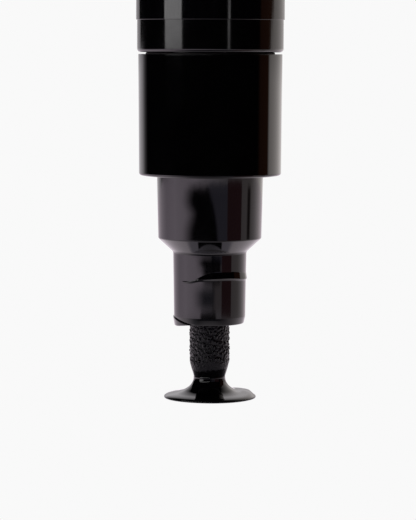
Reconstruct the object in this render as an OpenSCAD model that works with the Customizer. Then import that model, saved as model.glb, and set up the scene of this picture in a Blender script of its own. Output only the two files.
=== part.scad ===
// Valve-fed brush pen, nib down, with its cap posted on the tail.
// +Z runs up the pen, and the origin is under the middle of the nib, on the surface that the
// bead of ink lies on. Millimetres.

/* [Barrel] */
// Outside radius of the bare barrel
barrel_r = 7.3; // [7.25:0.01:7.6]
// Radius of the ink reservoir inside the barrel
reservoir_r = 6; // [5.8:0.05:6.1]
// Height of the barrel's mouth
barrel_z0 = 34.67; // [34.6:0.01:34.8]
// Height of the barrel's rear end
barrel_z1 = 124; // [110:1:150]
// Thickness of the label film
label_t = 0.1; // [0.05:0.01:0.2]
// Width of the bare band that the film leaves at the front of the barrel
label_inset = 3.2; // [2:0.05:6]

/* [Front section] */
// Radius of the collar at its lower edge
collar_r0 = 7.11; // [7:0.01:7.15]
// Radius of the collar at the barrel
collar_r1 = 7.19; // [7.1:0.01:7.25]
// Height of the collar's lower face
collar_z0 = 22.42; // [22:0.01:23]
// Radius of the wide nose at the collar
nose_r1 = 5.32; // [5.31:0.01:5.34]
// Radius of the wide nose above the cone
nose_r0 = 5.17; // [5:0.01:5.25]
// Height of the top of the cone
cone_z1 = 16.12; // [16:0.01:16.3]
// Height of the bottom of the cone
cone_z0 = 14.75; // [14.5:0.05:15]
// Radius of the narrow nose under the cone
tip_r1 = 3.68; // [3.6:0.01:3.75]
// Radius of the narrow nose at its mouth
tip_r0 = 3.58; // [3.5:0.01:3.6]
// Height of the nozzle's mouth
mouth_z = 7.55; // [7.4:0.05:7.65]

/* [Thread] */
// Rise of the thread in one turn
pitch = 1.5; // [1.25:0.05:1.6]
// Radius of the spigot that carries the male thread
spigot_r = 5.75; // [5.6:0.01:5.8]
// Height of the spigot's rear end
spigot_z1 = 41; // [40:0.1:42]

/* [Nib and valve] */
// Radius of the nib
nib_r = 1.97; // [1.8:0.01:2]
// Height of the nib's tip over the surface
nib_z0 = 0.25; // [0.2:0.05:0.3]
// Radius of the bead of ink
ink_r = 4.62; // [3:0.01:6]
// Height of the rear end of the nib
nib_z1 = 20; // [18:0.5:21]
// Coils of the valve spring
spring_turns = 8; // [6:1:10]
// Thickness of the spring's wire
wire_d = 0.44; // [0.3:0.02:0.5]

/* [Mixing balls] */
// Radius of a mixing ball
ball_r = 2.4; // [1.5:0.1:2.4]

/* [Cap] */
// Radius of the cap at its mouth
cap_r0 = 7.15; // [7:0.01:7.25]
// Length of the cap
cap_len = 32; // [30:1:40]
// Radius of the liner's bore, which fits the wide nose and the boss on the tail
liner_r = 5.36; // [5.35:0.01:5.4]

/* [Hidden] */

$fn = 96;

// Barrel and film
mouth_relief_r = 6.35;
mouth_relief_len = 6.85;
mouth_chamfer = 0.25;
relief_cone = 0.4;
label_z0 = barrel_z0 + label_inset;
label_rear_inset = 3;
label_z1 = barrel_z1 - label_rear_inset;
film_gap = 0.06;

// Front section: the collar stops short of the barrel, and the gasket fills the gap's inside
mouth_gap = 0.19;
collar_z1 = barrel_z0 - mouth_gap;
collar_bore_r = 5.3;
edge_r = 0.2;
gasket_t = 0.51;
gasket_play = 0.02;
gasket_r0 = spigot_r + 4 * gasket_play;
gasket_r1 = 6.45;
recess_r = gasket_r1 + 0.05;
gasket_z1 = barrel_z0 - gasket_play;
shoulder_z = gasket_z1 - gasket_t - gasket_play;

// Thread ridges
ridge_root_w = 0.62;
ridge_crest_w = 0.36;
male_crest_r = 6.2;
female_crest_r = 6;
ridge_sink = 0.15;
male_z0 = 35.72;
male_turns = 3.25;
female_turns = 3.4;
female_start = 90;
segments_per_turn = 32;
fade_segments = 10;
fade_share = 0.9;

// Nozzle bores, from the mouth up
mouth_bore_r = nib_r + 0.09;
guide_z0 = 9;
guide_z1 = 15;
guide_r = 2.95;
chamber_z0 = 16.5;
chamber_r = 3.6;
seat_z0 = 24.6;
spigot_bore_r = 4.3;

// Snap bead and lip on the narrow nose
bead_z = 12.2;
bead_h = 1;
bead_rise = 0.08;
bead_start = -136;
bead_arc = 166;
bead_sink = 0.03;
rib_root = 0.4;
lip_h = 1;
lip_drop = 0.1;
lip_rise = 0.08;
lip_start = 150;
lip_arc = 95;

// Valve
seat_t = 1.6;
seat_bore_r = 1.6;
seal_t = 0.8;
seal_r = 3.4;
seal_z1 = seat_z0 + seat_t + seal_t;
head_play = 0.02;
head_z0 = seal_z1 + head_play;
head_t = 1.5;
head_z1 = head_z0 + head_t;
head_r = 2.6;
foot_r = 2.6;
foot_t = 1;
rod_r = 1;
pin_r = 0.9;
pin_z1 = 38;
cage_r = 3.65;
cage_flange_r = 5.2;
cage_flange_t = 0.6;
cage_slot_h = 1.8;
cage_roof_t = 0.6;
cage_roof_z = spigot_z1 + cage_flange_t + cage_slot_h + 0.3;
cage_z1 = cage_roof_z + cage_roof_t;
coil_r = 1.75;
spring_play = 0.02;

// Mixing balls
ball_x = ball_r + 0.2;
ball_z = cage_z1 + ball_r + 0.3;

// Tail
plug_z0 = barrel_z1 - 8;
plug_wall = 1.6;
flange_t = 1.5;
flange_r = 7.17;
boss_r = liner_r - 0.07;
boss_len = 6;
boss_z1 = barrel_z1 + flange_t + boss_len;
oring_z = plug_z0 + 3.5;
oring_d = 0.8;

// Cap
cap_z0 = barrel_z1 + flange_t + 0.2;
cap_z1 = cap_z0 + cap_len;
cap_r1 = cap_r0 - 0.1;
liner_r1 = 6.2;
liner_t = 1.2;
cap_end_t = 2.2;
disc_t = 0.8;
disc_r = 5.6;

// Solid of revolution of an outline given as [radius, height] points
module turned(outline) {
    rotate_extrude()
        polygon(outline);
}

// Plain ring or tube
module tube(r_out, r_in, z0, z1) {
    translate([0, 0, z0])
        difference() {
            cylinder(h = z1 - z0, r = r_out);
            translate([0, 0, -1])
                cylinder(h = z1 - z0 + 2, r = r_in);
        }
}

// Plain disc or rod
module disc(r, z0, z1) {
    translate([0, 0, z0])
        cylinder(h = z1 - z0, r = r);
}

// Points of a quarter round of radius r about centre c, from angle a0 to a1
function arc(c, r, a0, a1, steps = 5) =
    [for (i = [0:steps]) c + r * [cos(a0 + (a1 - a0) * i / steps), sin(a0 + (a1 - a0) * i / steps)]];

// Shared faces of a swept tube: rings of n points, from ring 0 to ring last, closed at both ends
function sweep_faces(n, last) = concat(
    [[for (j = [n - 1:-1:0]) j]],
    [[for (j = [0:n - 1]) last * n + j]],
    [for (i = [0:last - 1], j = [0:n - 1]) [i * n + j, i * n + (j + 1) % n, (i + 1) * n + (j + 1) % n]],
    [for (i = [0:last - 1], j = [0:n - 1]) [i * n + j, (i + 1) * n + (j + 1) % n, (i + 1) * n + j]]
);

// Point at radius r, angle a and height z
function turned_point(r, a, z) = [r * cos(a), r * sin(a), z];

// Right-hand thread ridge between an inner and an outer radius. The crest, which is the inner or
// the outer side, fades into the root over a third of a turn at each end.
module ridge(r_in, r_out, w_in, w_out, z0, turns, start, crest_outside) {
    last = ceil(turns * segments_per_turn);
    depth = (r_out - r_in) * fade_share;
    points = [for (i = [0:last])
        let (
            a = start + 360 * i / segments_per_turn,
            z = z0 + pitch * a / 360,
            fade = depth * (1 - min(1, i / fade_segments, (last - i) / fade_segments)),
            ri = crest_outside ? r_in : r_in + fade,
            ro = crest_outside ? r_out - fade : r_out
        )
        each [
            turned_point(ri, a, z - w_in / 2),
            turned_point(ro, a, z - w_out / 2),
            turned_point(ro, a, z + w_out / 2),
            turned_point(ri, a, z + w_in / 2)
        ]
    ];
    polyhedron(points, sweep_faces(4, last));
}

module barrel() {
    color("#141416")
        union() {
            turned(concat(
                [[mouth_relief_r + mouth_chamfer, barrel_z0], [barrel_r - edge_r, barrel_z0]],
                arc([barrel_r - edge_r, barrel_z0 + edge_r], edge_r, -90, 0),
                arc([barrel_r - edge_r, barrel_z1 - edge_r], edge_r, 0, 90),
                [
                    [reservoir_r, barrel_z1],
                    [reservoir_r, barrel_z0 + mouth_relief_len + relief_cone],
                    [mouth_relief_r, barrel_z0 + mouth_relief_len],
                    [mouth_relief_r, barrel_z0 + mouth_chamfer]
                ]
            ));
            ridge(female_crest_r, mouth_relief_r + ridge_sink, ridge_crest_w, ridge_root_w,
                male_z0 - pitch / 2, female_turns, female_start, false);
        }
}

module label_sleeve() {
    color("#1b1b1f")
        difference() {
            tube(barrel_r + label_t, barrel_r, label_z0, label_z1);
            // the film's ends meet in a narrow gap at the back
            translate([-film_gap / 2, barrel_r - 1, label_z0 - 1])
                cube([film_gap, 2, label_z1 - label_z0 + 2]);
        }
}

module tail_plug() {
    color("#18181a")
        difference() {
            turned(concat(
                [[reservoir_r - plug_wall, plug_z0], [reservoir_r - 0.3, plug_z0], [reservoir_r, plug_z0 + 0.3]],
                [
                    [reservoir_r, oring_z - oring_d / 2],
                    [reservoir_r - oring_d, oring_z - oring_d / 2],
                    [reservoir_r - oring_d, oring_z + oring_d / 2],
                    [reservoir_r, oring_z + oring_d / 2],
                    [reservoir_r, barrel_z1],
                    [flange_r - edge_r, barrel_z1]
                ],
                arc([flange_r - edge_r, barrel_z1 + edge_r], edge_r, -90, 0),
                arc([flange_r - edge_r, barrel_z1 + flange_t - edge_r], edge_r, 0, 90),
                [[boss_r, barrel_z1 + flange_t]],
                arc([boss_r - 2 * edge_r, boss_z1 - 2 * edge_r], 2 * edge_r, 0, 90),
                [[0, boss_z1], [0, boss_z1 - plug_wall]],
                [[reservoir_r - plug_wall, boss_z1 - plug_wall]]
            ));
            // shallow dimple where the plug was moulded
            translate([0, 0, boss_z1 - 0.3])
                cylinder(h = 1, r = 1);
        }
}

module plug_seal() {
    color("#0c0c0c")
        translate([0, 0, oring_z])
            rotate_extrude()
                translate([reservoir_r - oring_d / 2 - 0.01, 0])
                    circle(d = oring_d - 0.04, $fn = 24);
}

module barrel_gasket() {
    color("#4b484c")
        tube(gasket_r1, gasket_r0, gasket_z1 - gasket_t, gasket_z1);
}

module front_collar() {
    color("#121214")
        turned(concat(
            [[collar_bore_r, collar_z0], [collar_r0 - edge_r, collar_z0]],
            arc([collar_r0 - edge_r, collar_z0 + edge_r], edge_r, -90, 0),
            arc([collar_r1 - edge_r / 2, collar_z1 - edge_r / 2], edge_r / 2, 0, 90),
            [
                [recess_r, collar_z1],
                [recess_r, shoulder_z],
                [collar_bore_r, shoulder_z]
            ]
        ));
}

module nozzle() {
    color("#161618")
        difference() {
            union() {
                turned(concat(
                    [[0, mouth_z], [tip_r0 - edge_r, mouth_z]],
                    arc([tip_r0 - edge_r, mouth_z + edge_r], edge_r, -90, 0),
                    [
                        [tip_r1, cone_z0],
                        [nose_r0, cone_z1],
                        [nose_r1, collar_z0],
                        [collar_bore_r, collar_z0 + 0.1],
                        [collar_bore_r, shoulder_z],
                        [spigot_r, shoulder_z],
                        [spigot_r, spigot_z1 - 0.3],
                        [spigot_r - 0.3, spigot_z1],
                        [0, spigot_z1]
                    ]
                ));
                ridge(spigot_r - ridge_sink, male_crest_r, ridge_root_w, ridge_crest_w,
                    male_z0, male_turns, 0, true);
                snap_bead();
                mouth_lip();
            }
            disc(mouth_bore_r, mouth_z - 1, guide_z0 + 1);
            disc(guide_r, guide_z0, chamber_z0 + 1);
            disc(chamber_r, chamber_z0, seat_z0 + 1);
            disc(spigot_bore_r, seat_z0, spigot_z1 + 1);
        }
}

// Low bead round the front and right of the narrow nose, which a cap snaps past
module snap_bead() {
    root_r = tip_r1 - bead_sink;
    rotate([0, 0, bead_start])
        rotate_extrude(angle = bead_arc)
            polygon([
                [tip_r1 - rib_root, bead_z - bead_h / 2],
                [root_r, bead_z - bead_h / 2],
                [root_r + bead_rise, bead_z - bead_h / 2 + bead_rise],
                [root_r + bead_rise, bead_z - bead_h / 4],
                [root_r, bead_z + bead_h / 2],
                [tip_r1 - rib_root, bead_z + bead_h / 2]
            ]);
}

// Raised crescent on the left of the nozzle's mouth
module mouth_lip() {
    rotate([0, 0, lip_start])
        rotate_extrude(angle = lip_arc)
            polygon([
                [tip_r0 - rib_root, mouth_z - lip_drop],
                [tip_r0 + lip_rise / 2, mouth_z - lip_drop],
                [tip_r0 + lip_rise, mouth_z + lip_drop],
                [tip_r0 + lip_rise, mouth_z + lip_h - 2 * lip_drop],
                [tip_r0 - rib_root, mouth_z + lip_h]
            ]);
}

module nib_guide() {
    color("#d9d6cc")
        difference() {
            tube(guide_r, nib_r + 0.06, guide_z0, guide_z1);
            // ink channels beside the nib
            for (a = [0:120:240])
                rotate([0, 0, a])
                    translate([nib_r - 0.2, -0.3, guide_z0 - 1])
                        cube([0.65, 0.6, guide_z1 - guide_z0 + 2]);
        }
}

module valve_seat() {
    color("#d9d6cc")
        tube(spigot_bore_r, seat_bore_r, seat_z0, seat_z0 + seat_t);
}

module seat_gasket() {
    color("#2a2a2c")
        tube(seal_r, seat_bore_r, seat_z0 + seat_t, seal_z1);
}

module valve_cage() {
    color("#e6e4de")
        difference() {
            union() {
                disc(spigot_bore_r, seat_z0 + seat_t, cage_z1);
                disc(cage_flange_r, spigot_z1, spigot_z1 + cage_flange_t);
            }
            disc(cage_r, seat_z0, cage_roof_z);
            // side slots that let the ink in, and a hole in the roof
            for (a = [0:45:135])
                rotate([0, 0, a])
                    translate([-10, -0.8, spigot_z1 + cage_flange_t + 0.15])
                        cube([20, 1.6, cage_slot_h - 0.15]);
            disc(1, cage_roof_z - 1, cage_z1 + 1);
        }
}

// Height of the spring's centre line after a number of turns, with a dead coil at each end
function coil_z(t) =
    let (
        z0 = head_z1 + spring_play + wire_d / 2,
        z1 = cage_roof_z - spring_play - wire_d / 2,
        dead = wire_d * 1.15,
        live = (z1 - z0 - 2 * dead) / (spring_turns - 2)
    )
    t < 1 ? z0 + dead * t :
    t < spring_turns - 1 ? z0 + dead + live * (t - 1) :
    z1 - dead * (spring_turns - t);

module valve_spring() {
    steps = 20;
    sides = 6;
    last = spring_turns * steps;
    points = [for (i = [0:last], j = [0:sides - 1])
        let (a = 360 * i / steps, b = 360 * j / sides)
        turned_point(
            coil_r + wire_d / 2 * cos(b),
            a,
            coil_z(i / steps) + wire_d / 2 * sin(b)
        )
    ];
    color("#c8c8cc")
        polyhedron(points, sweep_faces(sides, last));
}

module valve_stem() {
    color("#e6e4de")
        union() {
            difference() {
                disc(foot_r, nib_z1 - 1.2, nib_z1 + foot_t);
                disc(nib_r, nib_z1 - 2, nib_z1);
                // ink passes through notches in the foot
                for (a = [0:90:270])
                    rotate([0, 0, a])
                        translate([nib_r + 0.25, -0.5, nib_z1 - 2])
                            cube([2, 1, 4]);
            }
            disc(rod_r, nib_z1 + foot_t - 0.2, head_z0 + 0.2);
            turned([
                [0, head_z0],
                [head_r, head_z0],
                [head_r, head_z0 + 0.7],
                [coil_r + wire_d, head_z1],
                [0, head_z1]
            ]);
            turned([
                [0, head_z1 - 0.2],
                [pin_r, head_z1 - 0.2],
                [pin_r, pin_z1 - 0.5],
                [pin_r - 0.4, pin_z1],
                [0, pin_z1]
            ]);
        }
}

// Outline of the nib from its tip up: a worn, rounded bullet
nib_outline = [
    [0, nib_z0],
    [0.5, nib_z0 + 0.08],
    [1, nib_z0 + 0.35],
    [1.35, nib_z0 + 0.95],
    [1.55, nib_z0 + 1.85],
    [1.66, nib_z0 + 2.3],
    [1.77, nib_z0 + 2.7],
    [1.88, nib_z0 + 3.1],
    [nib_r, nib_z0 + 3.6],
    [nib_r, nib_z1],
    [0, nib_z1]
];

module nib() {
    color("#0b0a0c")
        turned(nib_outline);
}

// Height and radius of the ink as it climbs the nib
module ink_bead() {
    color("#050506")
        difference() {
            turned([
                [0, 0],
                [ink_r - 0.1, 0],
                [ink_r, 0.1],
                [ink_r - 0.05, 0.22],
                [ink_r - 0.3, 0.32],
                [3.6, 0.44],
                [2.73, 0.68],
                [2.34, 0.9],
                [2.05, 1.1],
                [1.86, 1.3],
                [1.72, 1.5],
                [1.62, 1.72],
                [1.55, 2],
                [0, 2]
            ]);
            turned(nib_outline);
        }
}

module mixing_ball_a() {
    color("#b9bcc2")
        translate([-ball_x, 0, ball_z])
            sphere(r = ball_r);
}

module mixing_ball_b() {
    color("#b9bcc2")
        translate([ball_x, 0, ball_z])
            sphere(r = ball_r);
}

module cap_shell() {
    color("#141416")
        difference() {
            turned(concat(
                [[liner_r1, cap_z0], [cap_r0 - edge_r, cap_z0]],
                arc([cap_r0 - edge_r, cap_z0 + edge_r], edge_r, -90, 0),
                arc([cap_r1 - 0.5, cap_z1 - 0.5], 0.5, 0, 90),
                [[0, cap_z1], [0, cap_z1 - cap_end_t], [liner_r1, cap_z1 - cap_end_t]]
            ));
            disc(disc_r, cap_z1 - disc_t, cap_z1 + 1);
        }
}

module cap_liner() {
    liner_z0 = cap_z0 + 0.5;
    liner_z1 = cap_z1 - cap_end_t;
    color("#d9d6cc")
        turned([
            [liner_r + 0.3, liner_z0],
            [liner_r1, liner_z0],
            [liner_r1, liner_z1],
            [0, liner_z1],
            [0, liner_z1 - liner_t],
            [liner_r, liner_z1 - liner_t],
            [liner_r, liner_z0 + 0.3]
        ]);
}

module cap_end_disc() {
    color("#0f0f10")
        turned([
            [0, cap_z1 - disc_t],
            [disc_r, cap_z1 - disc_t],
            [disc_r, cap_z1 - 0.25],
            [disc_r - 0.15, cap_z1 - 0.1],
            [0, cap_z1 - 0.1]
        ]);
}

barrel();
label_sleeve();
tail_plug();
plug_seal();
barrel_gasket();
front_collar();
nozzle();
nib_guide();
valve_seat();
seat_gasket();
valve_cage();
valve_spring();
valve_stem();
nib();
ink_bead();
mixing_ball_a();
mixing_ball_b();
cap_shell();
cap_liner();
cap_end_disc();
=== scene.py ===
"""Looks of the valve-fed brush pen, standing nib down in a bead of wet ink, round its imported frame.

Outlines are [radius, height] in millimetres in the row frame; meshes are made in metres.
Angles round the pen run from +X towards +Y, so the side that the camera sees is at -90 degrees.
"""

import math

import bmesh
import bpy
from mathutils import Euler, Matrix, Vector, noise


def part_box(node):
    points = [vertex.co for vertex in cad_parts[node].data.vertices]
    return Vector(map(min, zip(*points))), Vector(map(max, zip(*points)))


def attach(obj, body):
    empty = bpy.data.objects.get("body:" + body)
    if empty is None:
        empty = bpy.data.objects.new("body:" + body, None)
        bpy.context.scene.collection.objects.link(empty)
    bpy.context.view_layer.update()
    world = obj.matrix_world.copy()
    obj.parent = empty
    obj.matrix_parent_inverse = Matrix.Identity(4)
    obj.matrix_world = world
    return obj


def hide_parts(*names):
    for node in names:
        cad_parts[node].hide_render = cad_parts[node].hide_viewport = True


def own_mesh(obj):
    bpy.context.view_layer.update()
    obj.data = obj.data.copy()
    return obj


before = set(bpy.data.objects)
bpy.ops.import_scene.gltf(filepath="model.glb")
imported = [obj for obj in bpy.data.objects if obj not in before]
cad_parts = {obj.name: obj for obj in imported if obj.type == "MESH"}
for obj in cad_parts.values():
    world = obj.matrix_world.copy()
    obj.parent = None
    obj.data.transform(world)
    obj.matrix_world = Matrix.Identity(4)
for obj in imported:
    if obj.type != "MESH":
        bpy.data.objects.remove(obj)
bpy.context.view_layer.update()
MM = 0.001
# Angle round the pen of the side that the camera sees
FRONT = -90.0


# ---------------------------------------------------------------- sizes from the frame

def span(node):
    """Outer radius, lowest and highest point of a CAD node, in millimetres."""
    low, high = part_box(node)
    return high.x / MM, low.z / MM, high.z / MM


barrel_r, barrel_z0, barrel_z1 = span("barrel")
film_r, film_z0, film_z1 = span("label_sleeve")
collar_r, collar_z0, collar_z1 = span("front_collar")
gasket_r, gasket_z0, gasket_z1 = span("barrel_gasket")
thread_r, mouth_z, spigot_z1 = span("nozzle")
nib_r, nib_z0, nib_z1 = span("nib")
ink_r = span("ink_bead")[0]
plug_r, plug_z0, plug_z1 = span("tail_plug")
cap_r, cap_z0, cap_z1 = span("cap_shell")
liner_r, liner_z0, liner_z1 = span("cap_liner")
disc_r, disc_z0, disc_z1 = span("cap_end_disc")
guide_r, guide_z0 = span("nib_guide")[:2]
seat_r, seat_z0 = span("valve_seat")[:2]


# ---------------------------------------------------------------- sizes that no box gives, in mm

THREAD_PITCH = 1.5
RESERVOIR_R = 6.0
COLLAR_BORE_R = 5.3
# Room round the gasket and round the cap's end disc
PLAY = 0.02
# Narrow nose, wide nose and the cone between them
TIP_R = 3.68
NOSE_R = 5.17
CONE_Z0 = 14.75
CONE_Z1 = 16.12
# Lower end of the chamber behind the nib guide
CHAMBER_Z0 = 16.5
# Snap bead on the narrow nose: its lower edge, how far it stands out, and the depth of its underside
BEAD_Z = 12.07
BEAD_RISE = 0.11
BEAD_UNDER = 0.2
# How far the nib goes in, with a little to spare
PRESS = 2.1


# ---------------------------------------------------------------- mesh helpers

ROUNDING_STEPS = 6
# A corner flatter than this isn't rounded
NEARLY_STRAIGHT = math.radians(178)
# Largest share of a side that one rounding takes, and how far outside it a guard point lies
SIDE_SHARE = 0.45
GUARD_SHARE = 0.08
# Section of a thread ridge, as [height, share of its full rise]
RIDGE = [(-0.31, 0.0), (-0.24, 0.55), (-0.12, 0.95), (0.0, 1.0), (0.12, 0.95), (0.24, 0.55), (0.31, 0.0)]


def smooth(value, low, high):
    """0 up to low, 1 from high on, and a soft step between them."""
    t = min(max((value - low) / (high - low), 0), 1)
    return t * t * (3 - 2 * t)


def front_angle(degrees):
    """Angle round the pen from the side seen, positive towards +X, from -180 to 180."""
    return (degrees - FRONT + 180) % 360 - 180


def point(r, angle, z):
    """Coordinates in metres, from a radius and a height in millimetres and an angle in radians."""
    return r * math.cos(angle) * MM, r * math.sin(angle) * MM, z * MM


def corner_arc(before, corner, after, radius):
    """Points that round one corner, with a point just outside each end so that the flats stay flat."""
    a, c, b = Vector(before), Vector(corner), Vector(after)
    u, v = a - c, b - c
    turn = u.angle(v)
    if turn > NEARLY_STRAIGHT:
        return [tuple(c)]
    cut = min(radius / math.tan(turn / 2), SIDE_SHARE * u.length, SIDE_SHARE * v.length)
    u.normalize()
    v.normalize()
    p, q = c + u * cut, c + v * cut
    radius = cut * math.tan(turn / 2)
    centre = c + (u + v).normalized() * radius / math.sin(turn / 2)
    a0, a1 = math.atan2(*(p - centre).yx), math.atan2(*(q - centre).yx)
    sweep = (a1 - a0 + math.pi) % (2 * math.pi) - math.pi
    points = [tuple(p + u * cut * GUARD_SHARE)]
    for i in range(ROUNDING_STEPS + 1):
        t = a0 + sweep * i / ROUNDING_STEPS
        points.append((centre.x + radius * math.cos(t), centre.y + radius * math.sin(t)))
    points.append(tuple(q + v * cut * GUARD_SHARE))
    return points


def rounded(corners):
    """A closed outline from (radius, height, rounding) corners. Corners on the axis aren't rounded."""
    out = []
    for i, (r, z, fillet) in enumerate(corners):
        before, after = corners[i - 1][:2], corners[(i + 1) % len(corners)][:2]
        if fillet and r > 0:
            out += corner_arc(before, (r, z), after, fillet)
        else:
            out.append((r, z))
    return out


def divided(outline, step, low, high):
    """The outline with no stretch between heights low and high longer than step."""
    out = []
    for i, a in enumerate(outline):
        b = outline[(i + 1) % len(outline)]
        out.append(a)
        middle = (a[1] + b[1]) / 2
        count = math.ceil(math.dist(a, b) / step) if low <= middle <= high else 1
        out += [tuple(Vector(a).lerp(Vector(b), k / count)) for k in range(1, count)]
    return out


def lathe(mesh, outline, sides=256, warp=None):
    """Adds a closed solid of revolution to a bmesh. warp(r, degrees, z) gives a moved (r, z)."""
    rings = []
    for r, z in outline:
        if r < 1e-6:
            rings.append([mesh.verts.new((0, 0, z * MM))])
            continue
        ring = []
        for k in range(sides):
            degrees = 360 * k / sides
            moved_r, moved_z = warp(r, degrees, z) if warp else (r, z)
            ring.append(mesh.verts.new(point(moved_r, math.radians(degrees), moved_z)))
        rings.append(ring)
    for i, ring in enumerate(rings):
        other = rings[(i + 1) % len(rings)]
        if len(ring) == 1 and len(other) == 1:
            continue
        for k in range(sides):
            n = (k + 1) % sides
            corners = [ring[k % len(ring)], ring[n % len(ring)]]
            corners += [other[n % len(other)], other[k % len(other)]]
            mesh.faces.new(list(dict.fromkeys(corners)))


def tube(mesh, rings):
    """Joins rings of vertices into a tube with closed ends."""
    count = len(rings[0])
    for a, b in zip(rings, rings[1:]):
        for k in range(count):
            n = (k + 1) % count
            mesh.faces.new([a[k], a[n], b[n], b[k]])
    mesh.faces.new(rings[0])
    mesh.faces.new(rings[-1])


def thread(mesh, root_r, crest_r, z0, z1, start):
    """Adds one helical ridge, fading into the wall at both ends. start is its first angle in degrees."""
    sides, fade = 96, 24
    last = int((z1 - z0) / THREAD_PITCH * sides)
    rings = []
    for i in range(last + 1):
        a = math.radians(start + 360 * i / sides)
        z = z0 + THREAD_PITCH * i / sides
        grow = min(1.0, i / fade, (last - i) / fade)
        ring = []
        for dz, rise in RIDGE:
            r = root_r + (crest_r - root_r) * rise * grow
            ring.append(mesh.verts.new(point(r, a, z + dz)))
        rings.append(ring)
    tube(mesh, rings)


def sharpen(data, degrees):
    """Smooth shading with edges sharper than this kept crisp."""
    work = bmesh.new()
    work.from_mesh(data)
    for face in work.faces:
        face.smooth = True
    for edge in work.edges:
        edge.smooth = len(edge.link_faces) != 2 or edge.calc_face_angle(0) < math.radians(degrees)
    work.to_mesh(data)
    work.free()


def piece(name, mesh, body, node, material, crisp=35):
    """Finishes a bmesh as a piece that stands for a CAD node and rides on its body."""
    bmesh.ops.recalc_face_normals(mesh, faces=mesh.faces)
    data = bpy.data.meshes.new(name)
    mesh.to_mesh(data)
    mesh.free()
    sharpen(data, crisp)
    made = bpy.data.objects.new(name, data)
    bpy.context.scene.collection.objects.link(made)
    made.data.materials.append(material)
    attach(made, body)
    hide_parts(node)
    return made


# ---------------------------------------------------------------- node helpers

def add_node(tree, kind, **settings):
    node = tree.nodes.new(kind)
    for key, value in settings.items():
        setattr(node, key, value)
    return node


def calculated(tree, operation, a, b):
    """Output of a math node on two sockets or numbers."""
    node = add_node(tree, "ShaderNodeMath", operation=operation)
    for socket, value in zip(node.inputs, (a, b)):
        if isinstance(value, (int, float)):
            socket.default_value = value
        else:
            tree.links.new(value, socket)
    return node.outputs["Value"]


def ramped(tree, value, stops):
    """Colour of a ramp with these stops, as [position, colour]."""
    node = add_node(tree, "ShaderNodeValToRGB")
    elements = node.color_ramp.elements
    while len(elements) < len(stops):
        elements.new(0.5)
    for element, (at, colour) in zip(elements, stops):
        element.position = at
        element.color = (*colour, 1)
    tree.links.new(value, node.inputs["Fac"])
    return node.outputs["Color"]


class Nodes:
    """Short way to build a material: its object coordinates are in millimetres."""

    def __init__(self, name):
        self.material = bpy.data.materials.new(name)
        self.material.use_nodes = True
        self.tree = self.material.node_tree
        self.tree.nodes.clear()
        self.out = self.add("ShaderNodeOutputMaterial")
        self.shader = self.add("ShaderNodeBsdfPrincipled")
        self.link(self.shader.outputs["BSDF"], self.out.inputs["Surface"])
        coordinates = self.add("ShaderNodeTexCoord")
        self.place = self.add("ShaderNodeMapping")
        self.place.inputs["Scale"].default_value = (1 / MM, 1 / MM, 1 / MM)
        self.link(coordinates.outputs["Object"], self.place.inputs["Vector"])

    def add(self, kind, **settings):
        return add_node(self.tree, kind, **settings)

    def link(self, a, b):
        self.tree.links.new(a, b)

    def set(self, **values):
        """Sets uniform inputs of the shader; an underscore in a name stands for a space."""
        for key, value in values.items():
            self.shader.inputs[key.replace("_", " ")].default_value = value

    def noise(self, scale, detail=3.0, roughness=0.55, stretch=(1, 1, 1)):
        spot = self.add("ShaderNodeMapping")
        spot.inputs["Scale"].default_value = stretch
        self.link(self.place.outputs["Vector"], spot.inputs["Vector"])
        texture = self.add("ShaderNodeTexNoise")
        texture.inputs["Scale"].default_value = scale
        texture.inputs["Detail"].default_value = detail
        texture.inputs["Roughness"].default_value = roughness
        self.link(spot.outputs["Vector"], texture.inputs["Vector"])
        return texture.outputs["Fac"]

    def ramp(self, value, stops):
        return ramped(self.tree, value, stops)

    def spread(self, value, low, high, start=0.3, end=0.7):
        """Soft step from low, where value is at start, to high, where it is at end."""
        node = self.add("ShaderNodeMapRange", interpolation_type="SMOOTHSTEP")
        for socket, number in (("From Min", start), ("From Max", end), ("To Min", low), ("To Max", high)):
            node.inputs[socket].default_value = number
        self.link(value, node.inputs["Value"])
        return node.outputs["Result"]

    def math(self, operation, a, b):
        return calculated(self.tree, operation, a, b)

    def bump(self, height, strength, distance_mm):
        node = self.add("ShaderNodeBump")
        node.inputs["Strength"].default_value = strength
        node.inputs["Distance"].default_value = distance_mm * MM
        self.link(height, node.inputs["Height"])
        self.link(node.outputs["Normal"], self.shader.inputs["Normal"])

    def colour(self, socket):
        self.link(socket, self.shader.inputs["Base Color"])

    def rough(self, socket):
        self.link(socket, self.shader.inputs["Roughness"])


# ---------------------------------------------------------------- materials

def gloss_black(name, tint=(0.0010, 0.0010, 0.0012), low=0.055, high=0.085, wave=0.03):
    """Polished black moulding: faint cloudiness in its gloss, fine handling marks and a slight wave."""
    m = Nodes(name)
    cloud = m.noise(0.35, 4)
    marks = m.noise(9.0, 6, 0.7, (1, 1, 0.25))
    darker = tuple(c * 0.6 for c in tint)
    m.colour(m.ramp(cloud, [(0.35, darker), (0.7, tint)]))
    m.rough(m.math("ADD", m.spread(cloud, low, high), m.spread(marks, 0.0, 0.02, 0.55, 0.75)))
    m.set(IOR=1.5)
    m.bump(m.noise(0.9, 2), wave, 0.02)
    return m.material


def film_black():
    """Glossy wrapped film, with the fine streaks that its drawing leaves."""
    m = Nodes("glossy_film")
    streaks = m.noise(6.0, 3, 0.6, (1, 1, 0.04))
    m.colour(m.ramp(streaks, [(0.3, (0.0006, 0.0006, 0.0009)), (0.7, (0.0013, 0.0013, 0.0020))]))
    m.rough(m.spread(streaks, 0.06, 0.12))
    m.set(IOR=1.52)
    m.bump(m.math("ADD", m.noise(1.2, 2, 0.5, (1, 1, 0.3)), m.math("MULTIPLY", streaks, 0.15)), 0.03, 0.02)
    return m.material


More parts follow.
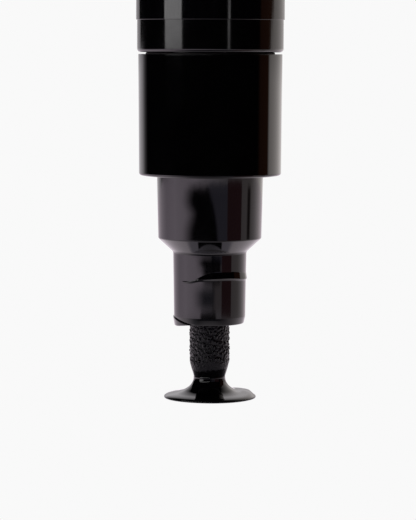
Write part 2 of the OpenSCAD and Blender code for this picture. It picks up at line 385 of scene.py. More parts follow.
def felt_nib():
    """Coarse porous felt soaked in ink: dull grains above, combed fibres below, a wet tip."""
    m = Nodes("inked_felt")
    grains = m.noise(3.2, 5, 0.7)
    fibres = m.noise(5.0, 3, 0.6, (1, 1, 0.12))
    height = m.add("ShaderNodeSeparateXYZ")
    m.link(m.place.outputs["Vector"], height.inputs["Vector"])
    # Height in mm with two noises added, so on average it is 0.95 above the real height
    wavy = m.math("ADD", height.outputs["Z"], m.math("MULTIPLY", m.noise(1.3, 3, 0.6), 0.9))
    ragged = m.math("ADD", wavy, m.math("MULTIPLY", m.noise(4.2, 3, 0.75), 1.0))
    wet = m.spread(ragged, 1.0, 0.0, 3.76, 3.86)
    combed = m.spread(ragged, 0.2, 0.0, 4.4, 5.1)
    mottle = m.math("ADD", m.math("MULTIPLY", grains, 0.6), m.math("MULTIPLY", fibres, 0.4))
    dry_colour = m.ramp(mottle, [(0.35, (0.0008, 0.0007, 0.0011)), (0.55, (0.0032, 0.0028, 0.0042)),
                                 (0.75, (0.0085, 0.0075, 0.0110))])
    base = m.add("ShaderNodeMix", data_type="RGBA")
    m.link(wet, base.inputs["Factor"])
    m.link(dry_colour, base.inputs["A"])
    base.inputs["B"].default_value = (0.0006, 0.0006, 0.0008, 1)
    m.colour(base.outputs["Result"])
    dull = m.math("ADD", m.spread(grains, 0.12, 0.28), combed)
    m.rough(m.math("SUBTRACT", dull, m.math("MULTIPLY", wet, 0.26)))
    m.set(IOR=1.45)
    shine = m.math("SUBTRACT", 0.23, m.math("MULTIPLY", wet, 0.20))
    m.link(shine, m.shader.inputs["Specular IOR Level"])
    m.bump(m.math("ADD", grains, m.math("MULTIPLY", fibres, 0.5)), 0.35, 0.06)
    return m.material


def wet_ink():
    """Black ink with a mirror-like skin."""
    m = Nodes("wet_ink")
    swirl = m.noise(0.7, 3)
    m.colour(m.ramp(swirl, [(0.3, (0.0006, 0.0006, 0.0008)), (0.7, (0.0016, 0.0016, 0.0022))]))
    m.rough(m.spread(swirl, 0.012, 0.03))
    m.set(IOR=1.4)
    m.bump(m.noise(0.5, 1), 0.05, 0.03)
    return m.material


def rubber(name, colour):
    """Matt rubber with fine pores."""
    m = Nodes(name)
    pores = m.noise(14, 5, 0.7)
    m.colour(m.ramp(pores, [(0.3, tuple(c * 0.7 for c in colour)), (0.7, colour)]))
    m.rough(m.spread(pores, 0.5, 0.75))
    m.bump(pores, 0.2, 0.02)
    return m.material


def acetal():
    """Natural moulded acetal: slightly translucent off-white with faint flow lines."""
    m = Nodes("natural_acetal")
    flow = m.noise(0.6, 4, 0.6, (1, 1, 0.3))
    m.colour(m.ramp(flow, [(0.3, (0.60, 0.575, 0.50)), (0.7, (0.74, 0.72, 0.66))]))
    m.rough(m.spread(m.noise(4, 4), 0.32, 0.48))
    m.set(Subsurface_Weight=0.15, Subsurface_Scale=0.001)
    m.bump(m.noise(10, 3), 0.08, 0.02)
    return m.material


def steel(name, low, high, stretch):
    """Bright steel with fine lines. low and high are its least and greatest roughness."""
    m = Nodes(name)
    lines = m.noise(7, 5, 0.7, stretch)
    m.colour(m.ramp(lines, [(0.3, (0.42, 0.43, 0.45)), (0.7, (0.62, 0.63, 0.66))]))
    m.rough(m.spread(lines, low, high))
    m.set(Metallic=1.0)
    m.bump(lines, 0.06, 0.01)
    return m.material


def satin_black():
    """Spun satin disc in the cap's end."""
    m = Nodes("satin_black")
    grain = m.noise(11, 5, 0.7)
    m.colour(m.ramp(grain, [(0.3, (0.006, 0.006, 0.007)), (0.7, (0.013, 0.013, 0.015))]))
    m.rough(m.spread(grain, 0.3, 0.45))
    m.bump(grain, 0.12, 0.015)
    return m.material


gloss = gloss_black("black_gloss_plastic", low=0.085, high=0.115)
nozzle_black = gloss_black("nozzle_gloss_plastic", (0.0012, 0.0011, 0.0015), 0.05, 0.08, 0.05)
collar_black = gloss_black("collar_gloss_plastic", low=0.02, high=0.045, wave=0.02)
film = film_black()
felt = felt_nib()
ink = wet_ink()
black_rubber = rubber("black_rubber", (0.012, 0.012, 0.013))
grey_rubber = rubber("grey_rubber", (0.055, 0.052, 0.055))
natural = acetal()
wire = steel("spring_steel", 0.18, 0.32, (1, 1, 1))
ball = steel("ball_steel", 0.05, 0.12, (0.3, 0.3, 0.3))
satin = satin_black()


# ---------------------------------------------------------------- valve spring

def spring_height(t, turns, low, high, dead):
    """Height of the wire's middle after t turns. The first and the last turn rise by dead."""
    live = (high - low - 2 * dead) / (turns - 2)
    if t < 1:
        return low + dead * t
    if t < turns - 1:
        return low + dead + live * (t - 1)
    return high - dead * (turns - t)


def build_spring():
    """Valve spring with a dead coil at each end. The real spring shortens towards its upper end as the nib
    goes in; this mesh keeps one length.
    """
    turns, steps, sides, travel = 8, 28, 10, 2.0
    outer, z0, z1 = span("valve_spring")
    wire_r = 0.22
    coil_r, dead = outer - wire_r, wire_r * 2.3
    mesh = bmesh.new()
    rings = []
    for i in range(turns * steps + 1):
        t = i / steps
        a = math.radians(360 * t)
        z = spring_height(t, turns, z0 + wire_r, z1 - wire_r, dead)
        ring = []
        for k in range(sides):
            b = math.radians(360 * k / sides)
            ring.append(mesh.verts.new(point(coil_r + wire_r * math.cos(b), a, z + wire_r * math.sin(b))))
        rings.append(ring)
    tube(mesh, rings)
    coil = piece("spring_coil", mesh, "front", "valve_spring", wire, 60)
    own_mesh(coil)


# ---------------------------------------------------------------- barrel, film and tail

def build_barrel():
    """Barrel tube with soft lips at its mouth and tail and the female thread inside its mouth."""
    relief_r, relief_len, relief_cone, chamfer = 6.35, 6.85, 0.4, 0.25
    thread_z0, thread_z1, thread_start = 35.4, 40.1, 108
    mesh = bmesh.new()
    lathe(mesh, rounded([
        (relief_r + chamfer, barrel_z0, 0.05),
        (barrel_r, barrel_z0, 0.42),
        (barrel_r, barrel_z1, 0.2),
        (RESERVOIR_R, barrel_z1, 0.1),
        (RESERVOIR_R, barrel_z0 + relief_len + relief_cone, 0.05),
        (relief_r, barrel_z0 + relief_len, 0.05),
        (relief_r, barrel_z0 + chamfer, 0.05),
    ]))
    thread(mesh, relief_r + 0.1, RESERVOIR_R, thread_z0, thread_z1, thread_start)
    piece("barrel_tube", mesh, "barrel_body", "barrel", gloss)


def film_seam(r, degrees, z):
    """The film's outer end overlaps at the back in one low step."""
    step_at, step_width, end_at, end_width, rise = 84, 0.7, 104, 8, 0.045
    if r > barrel_r + 0.03:
        step = min(max((degrees - step_at) / step_width, 0), 1)
        if degrees >= end_at:
            step *= max(0, 1 - (degrees - end_at) / end_width)
        r += rise * step
    return r, z


def build_film():
    """Thin film wrapped round the barrel."""
    inner, edge = barrel_r + 0.004, 0.045
    mesh = bmesh.new()
    lathe(mesh, rounded([
        (inner, film_z0, 0),
        (film_r, film_z0, edge),
        (film_r, film_z1, edge),
        (inner, film_z1, 0),
    ]), 512, film_seam)
    piece("barrel_film", mesh, "barrel_body", "label_sleeve", film)


def build_tail_plug():
    """Plug in the barrel's rear: seal groove, flange, and the boss that the cap posts on."""
    flange_z1 = barrel_z1 + 1.5
    boss_r, bore_r, groove_r = 5.2, 4.4, 5.2
    groove_z0, groove_z1 = plug_z0 + 3.1, plug_z0 + 3.9
    dimple_z, hollow_z1 = plug_z1 - 0.25, plug_z1 - 1.6
    mesh = bmesh.new()
    lathe(mesh, rounded([
        (0, dimple_z, 0),
        (1.0, dimple_z, 0.1),
        (1.25, plug_z1, 0.1),
        (boss_r, plug_z1, 0.45),
        (boss_r, flange_z1, 0.12),
        (plug_r, flange_z1, 0.2),
        (plug_r, barrel_z1, 0.2),
        (RESERVOIR_R, barrel_z1, 0),
        (RESERVOIR_R, groove_z1, 0.04),
        (groove_r, groove_z1, 0.04),
        (groove_r, groove_z0, 0.04),
        (RESERVOIR_R, groove_z0, 0.04),
        (RESERVOIR_R, plug_z0, 0.3),
        (bore_r, plug_z0, 0.1),
        (bore_r, hollow_z1, 0.3),
        (0, hollow_z1, 0),
    ]))
    piece("tail_plug_boss", mesh, "barrel_body", "tail_plug", gloss)


# ---------------------------------------------------------------- front section

def build_gasket():
    """Flat washer between the collar and the barrel's mouth."""
    inner = 5.83
    mesh = bmesh.new()
    lathe(mesh, rounded([
        (inner, gasket_z0, 0.06),
        (gasket_r, gasket_z0, 0.08),
        (gasket_r, gasket_z1, 0.12),
        (inner, gasket_z1, 0.06),
    ]))
    piece("gasket_washer", mesh, "front_seal", "barrel_gasket", grey_rubber)


def build_collar():
    """Smooth drafted ring, recessed for the gasket."""
    draft = 0.08
    recess_r, recess_z = gasket_r + 0.05, gasket_z0 - PLAY
    mesh = bmesh.new()
    lathe(mesh, rounded([
        (COLLAR_BORE_R, collar_z0, 0.05),
        (collar_r - draft, collar_z0, 0.24),
        (collar_r, collar_z1, 0.06),
        (recess_r, collar_z1, 0.04),
        (recess_r, recess_z, 0.02),
        (COLLAR_BORE_R, recess_z, 0.02),
    ]))
    piece("collar_ring", mesh, "front", "front_collar", collar_black)


def snap_bead(side, above):
    """How far the snap bead stands out: a crisp lower edge, sloping back into the wall above it.

    side is in degrees from the side seen. above is the height over the bead's lower edge.
    """
    end = 1 - smooth(side, 118, 138)
    grow = smooth(side, -27, 8) * end
    flank = 0.05 + 0.6 * grow
    if -0.001 <= above < flank:
        return BEAD_RISE * grow * (1 - above / flank)
    if -BEAD_UNDER < above < 0:
        start = smooth(side, -52, -40)
        return BEAD_RISE * (0.25 + 0.75 * grow) * start * end * (1 + above / BEAD_UNDER)
    return 0


def bead_lift(side, z):
    """Rise and fall of the snap bead round the nose, fading out above and below it."""
    near = smooth(z, BEAD_Z - 2.2, BEAD_Z - 0.2) * (1 - smooth(z, BEAD_Z + 0.75, BEAD_Z + 2.0))
    wave = 0.04 * math.sin(math.radians(side * 2)) - 0.08 * smooth(-side, 0, 50)
    front = 0.2 * smooth(side, -34, -14) * (1 - smooth(side, 25, 75))
    return near * (wave + front)


def crescent_lip(r, side, z):
    """Crescent-shaped lip at the nozzle's mouth on the left, under a thin slanting slit."""
    slit_z, slant, slit_half, slit_depth = 8.36, 0.78, 0.07, 0.16
    lip_rise, lip_drop = 0.09, 0.24
    under = slit_z - slant * smooth(side, -98, -20) - z
    if under > 0:
        across = smooth(side, -150, -120) * (1 - smooth(side, -50, -22))
        r += lip_rise * across * smooth(under, 0.0, 0.12)
        z -= lip_drop * across * smooth(under, 0.0, 0.7)
    if abs(under) < slit_half:
        depth = slit_depth * smooth(side, -112, -95) * (1 - smooth(side, -42, -24))
        r -= depth * (1 - abs(under) / slit_half)
    return r, z


def narrow_nose_warp(r, degrees, z):
    """Snap bead on the right and crescent lip on the left of the narrow nose."""
    if r < 3.0 or z > CONE_Z0 - 0.6:
        return r, z
    side = front_angle(degrees)
    r += snap_bead(side, z - BEAD_Z)
    z += bead_lift(side, z)
    return crescent_lip(r, side, z)


def build_nozzle():
    """Stepped nozzle: narrow nose, cone, wide nose, and the threaded spigot inside the barrel."""
    spigot_r, bore_r, chamber_r, seat_bore_r = 5.75, nib_r + 0.09, 3.6, seat_r
    thread_z0, thread_z1, thread_start = 35.8, 40.5, 24
    shoulder = gasket_z0 - PLAY
    corners = [
        (bore_r, mouth_z + 0.1, 0.08),
        (TIP_R - 0.24, mouth_z + 0.1, 0.12),
        (TIP_R - 0.1, mouth_z + 0.75, 0.9),
        (TIP_R - 0.051, BEAD_Z - BEAD_UNDER, 0),
        (TIP_R - 0.048, BEAD_Z, 0),
        (TIP_R, CONE_Z0, 0.45),
        (NOSE_R, CONE_Z1, 0.2),
        (NOSE_R + 0.15, collar_z0, 0.02),
        (COLLAR_BORE_R, collar_z0 + 0.12, 0),
        (COLLAR_BORE_R, shoulder, 0.03),
        (spigot_r, shoulder, 0.03),
        (spigot_r, spigot_z1, 0.3),
        (seat_bore_r, spigot_z1, 0.05),
        (seat_bore_r, seat_z0, 0.02),
        (chamber_r, seat_z0, 0.02),
        (chamber_r, CHAMBER_Z0, 0.05),
        (guide_r, CHAMBER_Z0, 0.05),
        (guide_r, guide_z0, 0.02),
        (bore_r, guide_z0, 0.02),
    ]
    mesh = bmesh.new()
    outline = divided(rounded(corners), 0.045, mouth_z - 1, CONE_Z0)
    lathe(mesh, outline, 384, narrow_nose_warp)
    thread(mesh, spigot_r - 0.05, thread_r, thread_z0, thread_z1, thread_start)
    piece("nozzle_body", mesh, "front", "nozzle", nozzle_black)


# ---------------------------------------------------------------- nib and ink

# The nib's worn end, as [height, radius] up to its full width
NIB_SHAPE = [(0.25, 0.0), (0.3, 0.45), (0.6, 1.0), (1.2, 1.36), (2.1, 1.56), (2.5, 1.67),
             (2.9, 1.79), (3.3, 1.9), (3.75, nib_r), (nib_z1, nib_r)]
# Largest height of a grain in the nozzle's mouth and in the nib guide
MOUTH_GRAIN = 0.07
GUIDE_GRAIN = 0.04
# The ink's skin from its rim on the table to its upper edge round the nib, as [radius, height]
INK_SKIN = [
    (ink_r - 0.01, 0.02), (ink_r, 0.1), (ink_r - 0.05, 0.19), (ink_r - 0.25, 0.29), (4.0, 0.38),
    (3.3, 0.51), (2.73, 0.68), (2.34, 0.89), (2.05, 1.1), (1.86, 1.31), (1.73, 1.52), (1.65, 1.73),
    (1.61, 1.95), (1.6, 2.12),
]


def nib_outline_radius(z):
    """Radius of the worn bullet at height z."""
    for (z0, r0), (z1, r1) in zip(NIB_SHAPE, NIB_SHAPE[1:]):
        if z <= z1:
            return r0 + (r1 - r0) * (z - z0) / (z1 - z0)
    return nib_r


def felt_surface(r, degrees, z):
    """Coarse grains on the nib's side, combed fibres lower down, smooth where ink floods it.

    Where the nib slides into the nozzle and its guide, the grains stay inside their bores.
    """
    if r < 0.3 or z > mouth_z + 0.8:
        return r, z
    a = math.radians(degrees)
    spot = Vector((r * math.cos(a), r * math.sin(a), z))
    edge = 3.55 + 0.55 * noise.noise(spot * 0.9 + Vector((7, 0, 0)))
    coarse = smooth(z, edge - 0.45, edge + 0.35)
    near = noise.voronoi(spot * 2.9)[0]
    grain = 0.5 - near[0] + 0.5 * (near[1] - near[0])
    fine = noise.fractal(spot * 4.5, 0.9, 2.1, 3)
    lump = noise.noise(spot * 1.6 + Vector((0, 3, 1)))
    fibre = noise.noise(Vector((spot.x * 4.2, spot.y * 4.2, spot.z * 0.6)))
    dry = smooth(z, 2.1, 2.6)
    r += coarse * (0.12 * grain + 0.05 * fine + 0.02 * lump)
    r += dry * (1 - coarse) * (0.018 * fibre + 0.01 * fine)
    z += coarse * 0.03 * fine
    if z > mouth_z - PRESS:
        r = min(r, nib_r + MOUTH_GRAIN)
    if z > guide_z0 - PRESS:
        r = min(r, nib_r + GUIDE_GRAIN)
    return r, z


def build_nib():
    """Porous round nib, finely divided up to just inside the nozzle's mouth."""
    step, chamfer = 0.045, 0.15
    heights = [nib_z0 + step * k for k in range(1, int((mouth_z + 1.0 - nib_z0) / step))]
    outline = [(0, nib_z0)] + [(nib_outline_radius(z), z) for z in heights]
    outline += [(nib_r, nib_z1 - chamfer), (nib_r - chamfer, nib_z1), (0, nib_z1)]
    mesh = bmesh.new()
    lathe(mesh, outline, 320, felt_surface)
    piece("porous_nib", mesh, "nib_unit", "nib", felt, 80)


def curve_through(points, per_span=6):
    """Catmull-Rom curve through [radius, height] points."""
    pts = [Vector(p) for p in points]
    pts = [pts[0] * 2 - pts[1], *pts, pts[-1] * 2 - pts[-2]]
    out = []
    for p0, p1, p2, p3 in zip(pts, pts[1:], pts[2:], pts[3:]):
        for k in range(per_span):
            t = k / per_span
            out.append(tuple(0.5 * (2 * p1 + (p2 - p0) * t + (2 * p0 - 5 * p1 + 4 * p2 - p3) * t * t
                                    + (3 * p1 - p0 - 3 * p2 + p3) * t ** 3)))
    out.append(tuple(pts[-2]))
    return out


def pool_shape(r, degrees, z):
    """The ink isn't quite round: it reaches a little further and swells on the right and behind."""
    side = front_angle(degrees)
    out = smooth(r, 1.8, 4.2)
    a = math.radians(side)
    r *= 1 + out * (0.012 * math.sin(a) + 0.006 * math.sin(3 * a + 0.6) + 0.004 * math.sin(5 * a))
    right = math.exp(-((side - 112) / 34) ** 2) * smooth(r, 2.4, 3.6) * (1 - smooth(r, 4.1, 4.6))
    z += 0.25 * right
    left = math.exp(-((side + 100) / 40) ** 2) * smooth(r, 2.2, 3.2) * (1 - smooth(r, 3.6, 4.5))
    z += 0.03 * left
    return r, max(z, 0)


def build_ink():
    """Bead of ink drawn out of the nib, with the nib's end inside it."""
    outline = [(0, 0), (ink_r - 0.03, 0)] + curve_through(INK_SKIN)
    outline += [(1.57, 2.2), (1.46, 2.1), (1.2, 1.3), (0.8, 0.6), (0, 0.4)]
    mesh = bmesh.new()
    lathe(mesh, outline, 320, pool_shape)
    piece("ink_pool", mesh, "nib_unit", "ink_bead", ink, 60)


# ---------------------------------------------------------------- cap

def build_cap_shell():
    """Outer cap, slightly tapered, with a recess for the disc in its end."""
    taper, end = 0.1, cap_z1 - 2.2
    mesh = bmesh.new()
    lathe(mesh, rounded([
        (liner_r, cap_z0, 0.15),
        (cap_r, cap_z0, 0.25),
        (cap_r - taper, cap_z1, 0.55),
        (disc_r, cap_z1, 0.08),
        (disc_r, disc_z0, 0.04),
        (0, disc_z0, 0),
        (0, end, 0),
        (liner_r, end, 0.1),
    ]))
    piece("cap_outer", mesh, "cap", "cap_shell", gloss)


def build_cap_liner():
    """Inner cap that grips the boss, flared at its mouth."""
    bore, flare, end = 5.27, 0.3, liner_z1 - 1.2
    mesh = bmesh.new()
    lathe(mesh, rounded([
        (bore + flare, liner_z0, 0.08),
        (liner_r, liner_z0, 0.08),
        (liner_r, liner_z1, 0.1),
        (0, liner_z1, 0),
        (0, end, 0),
        (bore, end, 0.3),
        (bore, liner_z0 + flare, 0.05),
    ]))
    piece("cap_inner", mesh, "cap", "cap_liner", natural)


def build_cap_disc():
    """Inlaid end disc with fine turned rings."""
    groove, edge, softening = 0.02, disc_r - PLAY, 0.02
    rings = []
    for k, r in enumerate([1.2, 2.1, 3.0, 3.9, 4.8]):
        rings.append((r, disc_z1 - groove * (k % 2), softening))
    mesh = bmesh.new()
    lathe(mesh, rounded([
        (0, disc_z1, 0),
        *rings,
        (edge, disc_z1, 0.1),
        (edge, disc_z0, 0),
        (0, disc_z0, 0),
    ]))
    piece("cap_disc", mesh, "cap", "cap_end_disc", satin)


build_spring()
build_barrel()
build_film()
build_tail_plug()
build_gasket()
build_collar()
build_nozzle()
build_nib()
build_ink()
build_cap_shell()
build_cap_liner()
build_cap_disc()

# The valve, the seals and the mixing balls keep their CAD shapes
KEPT = {
    "nib_guide": natural, "valve_seat": natural, "valve_cage": natural, "valve_stem": natural,
    "seat_gasket": black_rubber, "plug_seal": black_rubber, "mixing_ball_a": ball, "mixing_ball_b": ball,
}
for node, material in KEPT.items():
    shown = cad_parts[node]
    sharpen(shown.data, 35)
    shown.data.materials.clear()
    shown.data.materials.append(material)


# ---------------------------------------------------------------- studio

# Brightness of the plain background that the camera sees
BACKDROP = 0.947
TABLE_R = 0.28
# The table lies a little under the ink, so that the two faces don't coincide
TABLE_Z = -0.00003

# Light that reaches the pen from each side, as [degrees from the front towards +X, colour]
WALLS = [
    (-180, (0.86, 0.83, 0.86)), (-146, (0.88, 0.84, 0.88)), (-139, (0.78, 0.74, 0.78)),
    (-134, (0.48, 0.46, 0.48)), (-129, (0.18, 0.17, 0.18)), (-122, (0.012, 0.011, 0.012)),
    (-118, (0.001, 0.001, 0.001)), (82, (0.001, 0.001, 0.001)), (88, (0.09, 0.036, 0.02)),
    (106, (0.10, 0.04, 0.022)), (109, (0.85, 0.8, 0.78)), (112, (1.15, 1.06, 1.02)),
    (150, (1.25, 1.17, 1.14)), (165, (1.05, 0.99, 0.98)), (180, (0.86, 0.83, 0.86)),
]
# Strength of those walls, as [sine of the height above the horizon, strength]
HEIGHTS = [(-0.024, 1.05), (-0.004, 0.68), (0.15, 0.8), (0.3, 1.4), (0.5, 0.95), (0.7, 0.5), (0.84, 0.0)]

# Light from the table, as the walls'. Round the pen's foot it is darker, a painted shadow of the pen and
# its ink.
# It is nearly black in front, painted shade where the camera's side is unlit.
TABLE_SHADE_ROUND_PEN = (0.62, 0.57, 0.66)
TABLE_INNER = [
    (-180, (1.4, 1.25, 1.37)), (-78, (1.4, 1.25, 1.37)), (-40, (0.95, 0.88, 0.96)),
    (45, (0.92, 0.84, 0.88)), (110, (1.3, 1.17, 1.25)), (180, (1.4, 1.25, 1.37)),
]
TABLE_FRONT = [
    (-180, (1.4, 1.25, 1.37)), (-78, (1.4, 1.25, 1.37)), (-50, (0.35, 0.33, 0.38)),
    (-34, (0.06, 0.057, 0.072)), (28, (0.06, 0.057, 0.072)), (45, (0.26, 0.22, 0.25)),
    (85, (0.9, 0.8, 0.84)), (110, (1.3, 1.17, 1.25)), (180, (1.4, 1.25, 1.37)),
]
TABLE_OUTER = [
    (-180, (0.9, 0.8, 0.88)), (-140, (0.92, 0.8, 0.9)), (-110, (1.05, 0.9, 1.05)),
    (-95, (1.45, 1.24, 1.45)), (-82, (1.8, 1.55, 1.8)), (-30, (1.8, 1.55, 1.8)), (20, (1.0, 0.9, 1.0)),
    (60, (0.58, 0.5, 0.52)), (98, (0.56, 0.5, 0.5)), (112, (0.75, 0.68, 0.7)), (125, (1.0, 0.9, 0.93)),
    (143, (1.2, 1.06, 1.12)), (180, (0.9, 0.8, 0.88)),
]
# Table colours from the pen outwards, each with the radii in mm between which it takes over
RINGS = [(7.0, 9.5, TABLE_INNER), (15.0, 18.5, TABLE_FRONT), (45, 75, TABLE_OUTER)]

HARD = (0, 0)
WHITE = (1, 1, 1)
BLUISH = (1, 1, 1.2)
# Curved cards round the pen, as name, outline, radius in metres, colour, strength and softness.
# Besides the softbox and the strip, they are glowing sheets that paint reflections into the pen's gloss:
# the dark and dim ones paint the camera's dark reflection and the shaded table in front of the pen.
# An outline lists [height in mm, left, right], where left and right are degrees from the front.
# Softness is how many degrees the left and the right edge take to fade in. A soft card also fades
# in over its lowest and highest row.
CARDS = [
    ("softbox_left", [(30, -75, -45), (150, -75, -45)], 0.6, (1.0, 0.985, 1.0), 3.0, HARD),
    ("strip_right", [(30, 27, 30.4), (60, 27, 30.4)], 0.6, (1.0, 0.98, 1.0), 1.5, HARD),
    ("dark_ellipse", [(0.2, -28, 18), (1.0, -34, 24), (2.3, -34, 24), (2.9, -28, 18)],
     0.050, BLUISH, 0.006, (10, 8)),
    ("dim_middle", [(2.4, -56, 16), (3.5, -62, 20), (4.9, -64, 22), (6.4, -56, 20)],
     0.0502, (0.13, 0.125, 0.16), 1.0, (50, 14)),
    ("dark_middle", [(6.8, -40, 26), (7.3, -48, 34), (8.2, -50, 37), (9.4, -50, 32)],
     0.0500, BLUISH, 0.006, (36, 9)),
    ("dark_wedge", [(5.95, -27, 34), (6.35, -29, 36), (7.8, -32, 36), (8.4, -28, 34)],
     0.0499, BLUISH, 0.004, (20, 6)),
    ("dark_blob", [(8.6, -60, 18), (9.7, -68, 21), (12.0, -66, 18), (12.8, -60, 16), (13.65, -56, 14),
                   (14.4, -64, 11), (15.2, -68, 7), (16.3, -64, 2), (17.4, -50, -4)],
     0.0500, BLUISH, 0.004, (34, 7)),
    ("dim_low", [(2.5, 8, 37), (7.1, 8, 37)], 0.051, (0.50, 0.43, 0.46), 1.0, HARD),
    ("dim_blue", [(7.1, 5, 37), (10.2, 5, 37), (16.4, -10, 37), (17.0, 0, 37)],
     0.051, (0.24, 0.225, 0.30), 1.0, HARD),
    ("dark_red", [(2.0, 37, 70), (17.6, 37, 70)], 0.0505, (0.165, 0.076, 0.086), 1.0, HARD),
    ("dark_right", [(10.3, 83, 98), (11, 83, 98), (16.8, 83, 98), (17.6, 83, 98)],
     0.050, (0.07, 0.05, 0.05), 1.0, (6, 6)),
    ("dark_left_high", [(33.2, -143, -112), (300, -143, -112)], 0.4, WHITE, 0.002, HARD),
    ("red_high", [(33.2, 84, 109), (41, 84, 109), (42, 84, 115), (300, 84, 115)],
     0.4, (0.10, 0.04, 0.022), 1.0, HARD),
]


def emission(name, colour, strength, faded=False):
    """Emitting material. A faded one is clear where its mesh's cover is 0."""
    material = bpy.data.materials.new(name)
    material.use_nodes = True
    tree = material.node_tree
    tree.nodes.clear()
    out = add_node(tree, "ShaderNodeOutputMaterial")
    light = add_node(tree, "ShaderNodeEmission")
    light.inputs["Color"].default_value = (*colour, 1)
    light.inputs["Strength"].default_value = strength
    if not faded:
        tree.links.new(light.outputs[0], out.inputs["Surface"])
        return material
    clear = add_node(tree, "ShaderNodeBsdfTransparent")
    cover = add_node(tree, "ShaderNodeAttribute", attribute_name="cover")
    blend = add_node(tree, "ShaderNodeMixShader")
    tree.links.new(cover.outputs["Fac"], blend.inputs["Fac"])
    tree.links.new(clear.outputs[0], blend.inputs[1])
    tree.links.new(light.outputs[0], blend.inputs[2])
    tree.links.new(blend.outputs[0], out.inputs["Surface"])
    return material


def around_colour(tree, vector, stops):
    """Colour that depends only on the direction round the pen, from [degrees, colour] stops."""
    split = add_node(tree, "ShaderNodeSeparateXYZ")
    tree.links.new(vector, split.inputs["Vector"])
    forward = calculated(tree, "MULTIPLY", split.outputs["Y"], -1)
    turn = calculated(tree, "ARCTAN2", split.outputs["X"], forward)
    share = add_node(tree, "ShaderNodeMapRange")
    share.inputs["From Min"].default_value = -math.pi
    share.inputs["From Max"].default_value = math.pi
    tree.links.new(turn, share.inputs["Value"])
    shares = [((degrees + 180) / 360, colour) for degrees, colour in stops]
    return ramped(tree, share.outputs["Result"], shares)


def wall_strength(tree, vector):
    """Strength of the walls by height, which ends sooner on the left."""
    split = add_node(tree, "ShaderNodeSeparateXYZ")
    tree.links.new(vector, split.inputs["Vector"])
    leftward = calculated(tree, "MULTIPLY", split.outputs["X"], -1.0)
    leftward = calculated(tree, "MAXIMUM", leftward, 0.0)
    raised = calculated(tree, "ADD", leftward, 1.0)
    height = calculated(tree, "MULTIPLY", raised, split.outputs["Z"])
    share = add_node(tree, "ShaderNodeMapRange")
    share.inputs["From Min"].default_value = -1
    tree.links.new(height, share.inputs["Value"])
    shares = [((sine + 1) / 2, (level,) * 3) for sine, level in HEIGHTS]
    return ramped(tree, share.outputs["Result"], shares)


def build_world():
    """The camera sees a plain white studio. The pen is lit by the walls round it."""
    world = bpy.data.worlds.new("studio")
    world.use_nodes = True
    bpy.context.scene.world = world
    tree = world.node_tree
    tree.nodes.clear()
    out = add_node(tree, "ShaderNodeOutputWorld")
    direction = add_node(tree, "ShaderNodeTexCoord").outputs["Generated"]
    around = add_node(tree, "ShaderNodeBackground")
    seen = add_node(tree, "ShaderNodeBackground")
    seen.inputs["Strength"].default_value = BACKDROP
    seen.inputs["Color"].default_value = (*WHITE, 1)
    mix = add_node(tree, "ShaderNodeMixShader")
    rays = add_node(tree, "ShaderNodeLightPath")
    link = tree.links.new
    link(around_colour(tree, direction, WALLS), around.inputs["Color"])
    link(wall_strength(tree, direction), around.inputs["Strength"])
    link(rays.outputs["Is Camera Ray"], mix.inputs["Fac"])
    link(around.outputs[0], mix.inputs[1])
    link(seen.outputs[0], mix.inputs[2])
    link(mix.outputs[0], out.inputs["Surface"])


def table_colour(tree):
    """Colour of the table by distance and direction from the pen, from RINGS."""
    place = add_node(tree, "ShaderNodeTexCoord").outputs["Object"]
    far = add_node(tree, "ShaderNodeVectorMath", operation="LENGTH")
    tree.links.new(place, far.inputs[0])
    colour = None
    for start, end, stops in RINGS:
        fall = add_node(tree, "ShaderNodeMapRange", interpolation_type="SMOOTHSTEP")
        fall.inputs["From Min"].default_value = start * MM
        fall.inputs["From Max"].default_value = end * MM
        tree.links.new(far.outputs["Value"], fall.inputs["Value"])
        blend = add_node(tree, "ShaderNodeMix", data_type="RGBA")
        # Inside the first ring the table keeps the painted shadow round the pen's foot
        blend.inputs["A"].default_value = (*TABLE_SHADE_ROUND_PEN, 1)
        if colour:
            tree.links.new(colour, blend.inputs["A"])
        tree.links.new(fall.outputs["Result"], blend.inputs["Factor"])
        tree.links.new(around_colour(tree, place, stops), blend.inputs["B"])
        colour = blend.outputs["Result"]
    return colour


def build_table():
    """Pale table, painted brightest on the left, where the large softbox stands, with painted shade round
    the pen's foot and in front.

    The camera sees the plain backdrop in its place. The pen's gloss shows the table itself.
    """
    material = emission("table_white", WHITE, 1.0)
    tree = material.node_tree
    light = next(node for node in tree.nodes if node.type == "EMISSION")
    tree.links.new(table_colour(tree), light.inputs["Color"])
    mesh = bmesh.new()
    bmesh.ops.create_circle(mesh, cap_ends=True, segments=96, radius=TABLE_R)
    data = bpy.data.meshes.new("table")
    mesh.to_mesh(data)
    mesh.free()
    table = bpy.data.objects.new("table", data)
    table.location = (0, 0, TABLE_Z)
    table.visible_camera = False
    table.data.materials.append(material)
    bpy.context.scene.collection.objects.link(table)


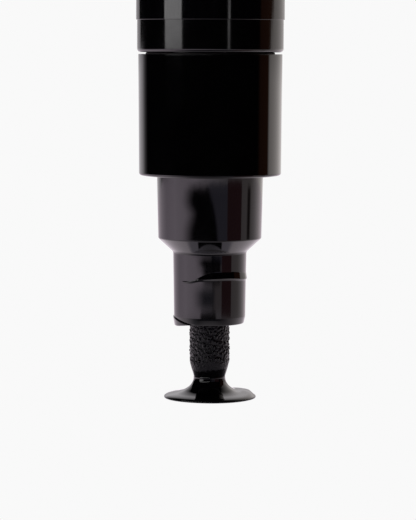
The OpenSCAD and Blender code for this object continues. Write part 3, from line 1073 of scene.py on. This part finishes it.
def build_lamp():
    """Long narrow softbox above the left of the camera."""
    turn, lift = math.radians(FRONT - 35), math.radians(22)
    width, height, away, radiance = 0.70, 0.03, 0.5, 4
    data = bpy.data.lights.new("overhead", "AREA")
    data.shape = "RECTANGLE"
    data.size = width
    data.size_y = height
    data.energy = radiance * math.pi * width * height
    made = bpy.data.objects.new("overhead", data)
    back = Vector((math.cos(turn) * math.cos(lift), math.sin(turn) * math.cos(lift), math.sin(lift)))
    made.location = back * away
    made.rotation_euler = back.to_track_quat("Z", "Y").to_euler()
    made.visible_camera = False
    bpy.context.scene.collection.objects.link(made)


def card_cover(turn, left, right, soft, inside):
    """How much of a card's light shows at one of its points. inside is false on its end rows."""
    if not any(soft):
        return 1.0
    return smooth(turn - left, 0, soft[0]) * smooth(right - turn, 0, soft[1]) * inside


def build_card(name, outline, radius, colour, strength, soft):
    """Curved studio card standing round the pen, seen only in its gloss, where it paints a reflection."""
    mesh = bmesh.new()
    cover = mesh.verts.layers.float.new("cover")
    steps = 32
    rows = []
    for i, (height, left, right) in enumerate(outline):
        row = []
        for k in range(steps + 1):
            turn = left + (right - left) * k / steps
            a = math.radians(FRONT + turn)
            vert = mesh.verts.new((radius * math.cos(a), radius * math.sin(a), height * MM))
            vert[cover] = card_cover(turn, left, right, soft, 0 < i < len(outline) - 1)
            row.append(vert)
        rows.append(row)
    for low, high in zip(rows, rows[1:]):
        for k in range(steps):
            mesh.faces.new((low[k], low[k + 1], high[k + 1], high[k]))
    data = bpy.data.meshes.new(name)
    mesh.to_mesh(data)
    mesh.free()
    made = bpy.data.objects.new(name, data)
    made.data.materials.append(emission(name, colour, strength, faded=any(soft)))
    made.visible_camera = False
    made.visible_shadow = False
    bpy.context.scene.collection.objects.link(made)


def build_camera():
    """Level with the barrel's mouth, looking slightly down."""
    look_down, roll = 5.087, -0.16
    data = bpy.data.cameras.new("camera")
    data.sensor_width = 36
    data.lens = 173.03
    data.clip_start = 0.01
    camera = bpy.data.objects.new("camera", data)
    camera.location = (-0.00024, -0.250, 0.03612)
    camera.rotation_euler = Euler((math.radians(90 - look_down), math.radians(roll), 0), "XYZ")
    bpy.context.scene.collection.objects.link(camera)
    bpy.context.scene.camera = camera


build_world()
build_table()
build_lamp()
for entry in CARDS:
    build_card(*entry)
build_camera()
bpy.context.scene.view_settings.view_transform = "Standard"
